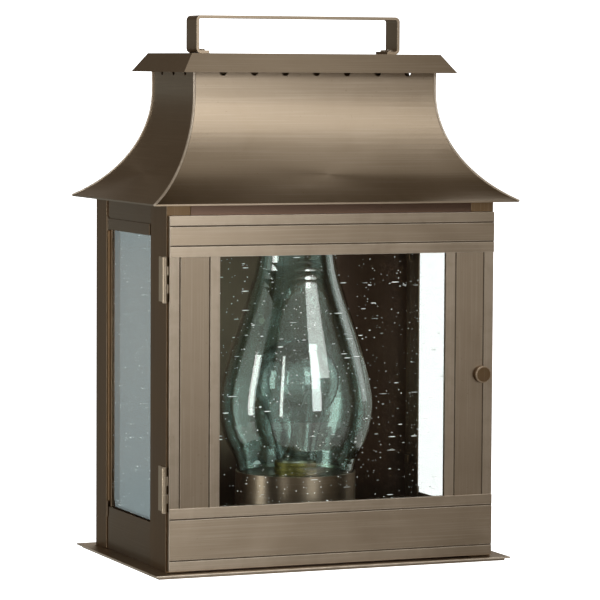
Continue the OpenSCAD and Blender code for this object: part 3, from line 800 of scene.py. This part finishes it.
@dataclass
class Latch(SubAssembly):
    """The knob, its shaft, washer and tongue."""

    body: str = "latch"

    def build(self) -> None:
        """Dresses the turned knob and the parts behind it."""
        # The knob takes the shaded tone: painted shade.
        self.soften(self.brass(Tone.DARK, Grain.ALONG_Z), "latch_knob", width=0.35 * MM, segments=3)
        self.soften(self.brass(Tone.BRIGHT, Grain.ALONG_Z), "latch_shaft", "latch_washer", "latch_tongue",
                    width=0.2 * MM)


@dataclass
class Glazing(SubAssembly):
    """The three seeded panes, and the bubbles in them."""

    door_bubbles_per_m2: float = 26000.0
    side_bubbles_per_m2: float = 11000.0
    dot: float = 0.35 * MM
    dash: float = 3.0 * MM
    border: float = 2.0 * MM
    first_seed: int = 3

    def build(self) -> None:
        """Dresses the panes, then fills each with bubbles on the body that it rides on."""
        self.paint(self.palette.pane, "side_glass_left", "side_glass_right", "door_glass")
        panes = (("door_glass", "door"), ("side_glass_left", "cabin"), ("side_glass_right", "cabin"))
        for seed, (node, body) in enumerate(panes, self.first_seed):
            self.body = body
            self.add(self._bubbles(node, seed), self.palette.bubble)

    def _bubbles(self, node: str, seed: int) -> bpy.types.Object:
        """Scatters bubbles in a pane, round ones and a few drawn out along it.

        Args:
            node: The pane's node.
            seed: The scatter's seed.

        Returns:
            The bubbles as one object.
        """
        low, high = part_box(node)
        span = high - low
        faces_front = span.y < span.x
        width = span.x if faces_front else span.y
        density = self.door_bubbles_per_m2 if faces_front else self.side_bubbles_per_m2
        tree = Growth(f"bubbles_{node}", Width=width - 2 * self.border, Height=span.z - 2 * self.border,
                      Density=density, Seed=seed, Dot=self.dot, Dash=self.dash)
        sheet = tree.node("GeometryNodeMeshGrid", None, {
            0: tree.size("Width"), 1: tree.size("Height"), 2: 2, 3: 2})
        spots = tree.node("GeometryNodeDistributePointsOnFaces", {"distribute_method": "RANDOM"}, {
            0: sheet, "Density": tree.size("Density"), "Seed": tree.size("Seed")})
        round_size = tree.random(0.45, 1.0, 11) * tree.size("Dot")
        drawn = tree.random(0.0, 1.0, 12) ** 14.0 * tree.size("Dash") + round_size
        scale = tree.vector(drawn, round_size * tree.random(0.6, 1.0, 13), 0.6 * round_size)
        ball = tree.node("GeometryNodeMeshIcoSphere", None, {"Radius": 1.0, "Subdivisions": 2})
        bubbles = tree.node("GeometryNodeInstanceOnPoints", None, {
            0: spots, "Instance": ball, "Scale": scale})
        piece = tree.grow(f"bubbles_in_{node}", bubbles, self.palette.bubble.material)
        upright = Matrix.Rotation(math.radians(90), 4, "X")
        turn = Matrix.Identity(4) if faces_front else Matrix.Rotation(math.radians(90), 4, "Z")
        piece.data.transform(Matrix.Translation((low + high) / 2) @ turn @ upright)
        return piece


@dataclass
class Gallery(SubAssembly):
    """The drum that the chimney stands on, with the socket inside it."""

    pitch: float = 3.63 * MM
    bead: float = 0.75 * MM

    def build(self) -> None:
        """Dresses the drum and socket, and rolls a thread into the shell's visible top."""
        self.soften(self.brass(Tone.ANTIQUE, Grain.ROUND_Z), "gallery_drum")
        # The drum's top plate takes the deepest shaded tone: painted shade inside the drum.
        self.soften(self.brass(Tone.DEEP_SHADED, Grain.ROUND_Z), "gallery_top", width=0.25 * MM)
        self.soften(self.palette.rubber, "drum_bushing", width=0.3 * MM)
        self.soften(self.palette.porcelain, "socket_body", width=0.6 * MM, segments=3)
        self.soften(self.palette.drawn_brass, "socket_shell", width=0.3 * MM)
        self.soften(self.palette.drawn_brass, "socket_contact", width=0.2 * MM)
        self.soften(self.palette.drawn_brass, "socket_nipple", "nipple_nut", width=0.3 * MM)
        self.add(self._shell_thread(), self.palette.drawn_brass)

    def _shell_thread(self) -> bpy.types.Object:
        """The rolled thread that stands out on the shell above the drum's plate."""
        low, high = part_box("socket_shell")
        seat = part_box("gallery_top")[1].z
        run = high.z - seat - 2.6 * self.bead
        tree = Growth("rolled_thread", Radius=high.x - 0.45 * self.bead, Bead=self.bead,
                      Turns=run / self.pitch, Run=run)
        path = tree.node("GeometryNodeCurveSpiral", None, {
            "Resolution": 48, "Rotations": tree.size("Turns"), "Start Radius": tree.size("Radius"),
            "End Radius": tree.size("Radius"), "Height": tree.size("Run")})
        tube = tree.tube(path, tree.size("Bead"), 10)
        piece = tree.grow("socket_shell_thread", tube, self.palette.drawn_brass.material)
        middle = (low + high) / 2
        piece.data.transform(Matrix.Translation((middle.x, middle.y, seat + 1.3 * self.bead)))
        return piece


@dataclass
class Lamp(SubAssembly):
    """The clear bulb, its threaded base, glass stem and coiled filament."""

    body: str = "lamp"
    pitch: float = 3.63 * MM
    thread_depth: float = 0.85 * MM
    coil: float = 0.55 * MM
    wire: float = 0.16 * MM
    foot: tuple[tuple[float, float], ...] = (
        (0.21, 0.0), (0.33, 0.062), (0.34, 0.125), (0.42, 0.13), (0.75, 0.255), (0.92, 0.27))
    rings: int = 84
    around: int = 72
    arch_sweep: float = math.radians(116)
    arch_share: float = 0.93

    def build(self) -> None:
        """Dresses the glass, rolls the base's thread and winds the filament."""
        self.paint(self.palette.lamp, "bulb_glass", "bulb_stem")
        self.add(self._base(), self.palette.cap_metal, "bulb_base")
        self.paint(self.palette.tungsten, "bulb_filament")
        self.add(self._filament(), self.palette.tungsten)

    def _base(self) -> bpy.types.Object:
        """The screw base: a rolled thread that fades out at both ends, over a stepped foot."""
        low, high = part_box("bulb_base")
        centre = (low + high) / 2
        height = high.z - low.z
        work = bmesh.new()
        loops = []
        for radius, z, fade in self._base_rows(high.x - centre.x, height):
            loop = []
            for k in range(self.around):
                turn = 2 * math.pi * k / self.around
                groove = 0.5 - 0.5 * math.cos(2 * math.pi * z / self.pitch - turn)
                out = radius - self.thread_depth * groove * fade
                loop.append(work.verts.new((out * math.cos(turn), out * math.sin(turn), z)))
            loops.append(loop)
        for lower, upper in zip(loops, loops[1:]):
            for k in range(self.around):
                n = (k + 1) % self.around
                work.faces.new((lower[k], lower[n], upper[n], upper[k])).smooth = True
        work.faces.new(reversed(loops[0]))
        work.faces.new(loops[-1])
        mesh = bpy.data.meshes.new("bulb_base_threaded")
        work.to_mesh(mesh)
        work.free()
        mesh.transform(Matrix.Translation((centre.x, centre.y, low.z)))
        return add_object("bulb_base_threaded", mesh)

    def _base_rows(self, radius: float, height: float) -> list[tuple[float, float, float]]:
        """The base's rings from the contact upwards.

        Args:
            radius: The shell's radius.
            height: The base's whole height.

        Returns:
            Each ring's radius, its height and the thread's share of its full depth there.
        """
        rows = [(radius * r, height * z, 0.0) for r, z in self.foot]
        start = rows[-1][1]
        for i in range(1, self.rings + 1):
            z = start + (height - start) * i / self.rings
            rows.append((radius, z, min(1.0, (z - start) / self.pitch, (height - z) / self.pitch)))
        return rows

    def _filament(self) -> bpy.types.Object:
        """The coiled wire, wound along an arch between the tops of the two support wires."""
        low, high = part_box("bulb_filament")
        arch = (high.x - low.x) / 2 / math.sin(self.arch_sweep / 2) * self.arch_share
        tree = Growth("filament_coil", Arch=arch, Sweep=self.arch_sweep, Coil=self.coil,
                      Wire=self.wire, Turns=34.0)
        path = tree.node("GeometryNodeCurveArc", {"mode": "RADIUS"}, {
            "Resolution": 420, "Radius": 1.0, "Start Angle": (math.pi - self.arch_sweep) / 2,
            "Sweep Angle": tree.size("Sweep")})
        share = tree.node("GeometryNodeSplineParameter")
        place = tree.node("ShaderNodeSeparateXYZ", None, {0: tree.node("GeometryNodeInputPosition")})
        across = tree.other(place, 1)
        phase = share * tree.size("Turns") * (2 * math.pi)
        out = tree.size("Arch") + phase.cosine() * tree.size("Coil")
        wound = tree.vector(place * out, phase.sine() * tree.size("Coil"), across * out)
        path = tree.node("GeometryNodeSetPosition", None, {0: path, "Position": wound})
        tube = tree.tube(path, tree.size("Wire"), 5)
        piece = tree.grow("filament_coil", tube, self.palette.tungsten.material)
        centre = (low + high) / 2
        piece.data.transform(Matrix.Translation((centre.x, centre.y, high.z - arch)))
        return piece


@dataclass
class Chimney(SubAssembly):
    """The blown glass chimney."""

    body: str = "chimney"

    def build(self) -> None:
        """Dresses the chimney."""
        self.paint(self.palette.chimney, "chimney")


@dataclass
class WallMount(SubAssembly):
    """The pan, crossbar and fixings behind the lantern."""

    def build(self) -> None:
        """Dresses the pan and its fixings."""
        # The pan takes the shaded tone: painted shade behind the lantern.
        self.soften(self.brass(Tone.DARK, Grain.ALONG_Z), "mounting_pan")
        self.soften(self.palette.zinc, "crossbar", width=0.3 * MM)
        self.soften(self.brass(Tone.BRIGHT, Grain.ALONG_Z), "cap_nuts", "mounting_studs", width=0.3 * MM)
        self.soften(self.palette.rubber, "wire_grommet", width=0.4 * MM, segments=3)
        self.soften(self.palette.green, "ground_screw", width=0.25 * MM)


# ---- studio ------------------------------------------------------------------------------


@dataclass(frozen=True)
class Softbox:
    """A rectangular light, aimed at the lantern, placed by angles in degrees and metres."""

    name: str
    azimuth: float
    elevation: float
    distance: float
    width: float
    height: float
    radiance: float
    color: tuple[float, float, float] = (1.0, 1.0, 1.0)

    def hang(self, target: Vector) -> None:
        """Puts the light into the scene, turned to the target.

        Args:
            target: The point that it is aimed at.
        """
        data = bpy.data.lights.new(self.name, "AREA")
        data.shape = "RECTANGLE"
        data.size = self.width
        data.size_y = self.height
        data.energy = self.radiance * math.pi * self.width * self.height
        data.color = self.color
        turn, rise = math.radians(self.azimuth), math.radians(self.elevation)
        level = Vector((math.sin(turn), -math.cos(turn), 0.0))
        away = level * math.cos(rise) + Vector((0.0, 0.0, math.sin(rise)))
        light = bpy.data.objects.new(self.name, data)
        light.location = target + away * self.distance
        light.rotation_euler = (-away).to_track_quat("-Z", "Y").to_euler()
        light.visible_camera = False
        bpy.context.scene.collection.objects.link(light)


@dataclass
class Studio:
    """The camera, lights, pale floor and surroundings."""

    target: Vector = field(default_factory=lambda: Vector((13.5, -68.0, 44.1)) * MM)
    turn: float = math.radians(22.41)
    dip: float = math.radians(4.07)
    roll: float = math.radians(0.33)
    distance: float = 2.348
    lens: float = 199.8
    floor_drop: float = 0.27
    floor_radius: float = 1.1
    room_color: Color = (1.0, 0.79, 0.58, 1)
    ambient: float = 0.12
    backdrop: float = 1.9
    backdrop_in_glass: float = 0.36
    softboxes: tuple[Softbox, ...] = (
        Softbox("key", 18, 27, 1.7, 0.85, 0.7, 2.0, (1.0, 0.985, 0.965)),
        Softbox("top", 20, 62, 1.6, 1.0, 0.7, 0.6, (1.0, 0.97, 0.92)),
        Softbox("front_window", 9, 10, 1.7, 0.40, 1.1, 2.8),
        Softbox("left_strip", -43, 6, 1.6, 0.12, 1.0, 3.6, (1.0, 0.98, 0.95)),
        Softbox("left_window", -88, 4, 1.6, 0.44, 1.0, 3.6, (1.0, 0.98, 0.95)),
        Softbox("rear_card", -157.5, -5.5, 1.5, 0.20, 0.56, 0.50, (0.76, 0.95, 1.0)),
        Softbox("right_fill", 100, 12, 1.8, 0.6, 1.0, 0.7),
        Softbox("rear_fill", 150, 35, 1.9, 1.2, 1.0, 1.8),
    )

    def build(self) -> None:
        """Sets up everything round the lantern."""
        self._camera()
        self._floor()
        self._world()
        for softbox in self.softboxes:
            softbox.hang(self.target)
        log.info("Studio: camera, floor, world and %d softboxes", len(self.softboxes))

    def _camera(self) -> None:
        """Places the camera, from its turn, dip and roll round the target."""
        level = Vector((math.sin(self.turn), math.cos(self.turn), 0.0))
        ahead = level * math.cos(self.dip) - Vector((0.0, 0.0, math.sin(self.dip)))
        right = Vector((math.cos(self.turn), -math.sin(self.turn), 0.0))
        up = right.cross(ahead)
        side = right * math.cos(self.roll) + up * math.sin(self.roll)
        top = up * math.cos(self.roll) - right * math.sin(self.roll)
        data = bpy.data.cameras.new("camera")
        data.lens = self.lens
        camera = bpy.data.objects.new("camera", data)
        turned = Matrix((side, top, -ahead)).transposed().to_4x4()
        camera.matrix_world = Matrix.Translation(self.target - ahead * self.distance) @ turned
        bpy.context.scene.collection.objects.link(camera)
        bpy.context.scene.camera = camera

    def _floor(self) -> None:
        """Lays a round pale floor well below the lantern, as the lantern hangs on a wall."""
        work = bmesh.new()
        bmesh.ops.create_circle(work, cap_ends=True, segments=96, radius=self.floor_radius)
        mesh = bpy.data.meshes.new("floor")
        work.to_mesh(mesh)
        work.free()
        mesh.transform(Matrix.Translation((0.0, self.target.y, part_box("base_hem")[0].z - self.floor_drop)))
        floor = add_object("floor", mesh)
        pale = Plain("pale_floor", (0.80, 0.80, 0.79, 1), (0.76, 0.76, 0.75, 1), 0.8,
                     patch=3.0, grain=90.0)
        floor.data.materials.append(pale.make())

    def _world(self) -> None:
        """A white backdrop where it is seen, and a dim room where it lights the lantern."""
        scene = bpy.context.scene
        scene.view_settings.view_transform = "Standard"
        scene.cycles.transparent_max_bounces = 24
        scene.world = bpy.data.worlds.new("studio")
        scene.world.use_nodes = True
        graph = Graph(scene.world.node_tree)
        seen = graph.node("ShaderNodeLightPath", output="Is Camera Ray")
        seen = seen.larger(graph.other(seen, "Is Transmission Ray") * self.backdrop_in_glass)
        room = graph.node("ShaderNodeBackground", None, {
            "Color": self.room_color, "Strength": self.ambient})
        backdrop = graph.node("ShaderNodeBackground", None, {
            "Color": (1, 1, 1, 1), "Strength": self.backdrop})
        surface = graph.node("ShaderNodeMixShader", None, {0: seen, 1: room, 2: backdrop})
        graph.node("ShaderNodeOutputWorld", None, {"Surface": surface})


def main() -> None:
    """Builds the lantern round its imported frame."""
    logging.basicConfig(level=logging.INFO, format="%(name)s: %(message)s")
    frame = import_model()
    palette = Palette()
    for kind in (Cabin, Roof, Door, Hinges, Latch, Glazing, Gallery, Lamp, Chimney, WallMount):
        part = kind(palette, frame["nodes"])
        part.build()
        part.report()
    Studio().build()


if __name__ == "__main__":
    main()
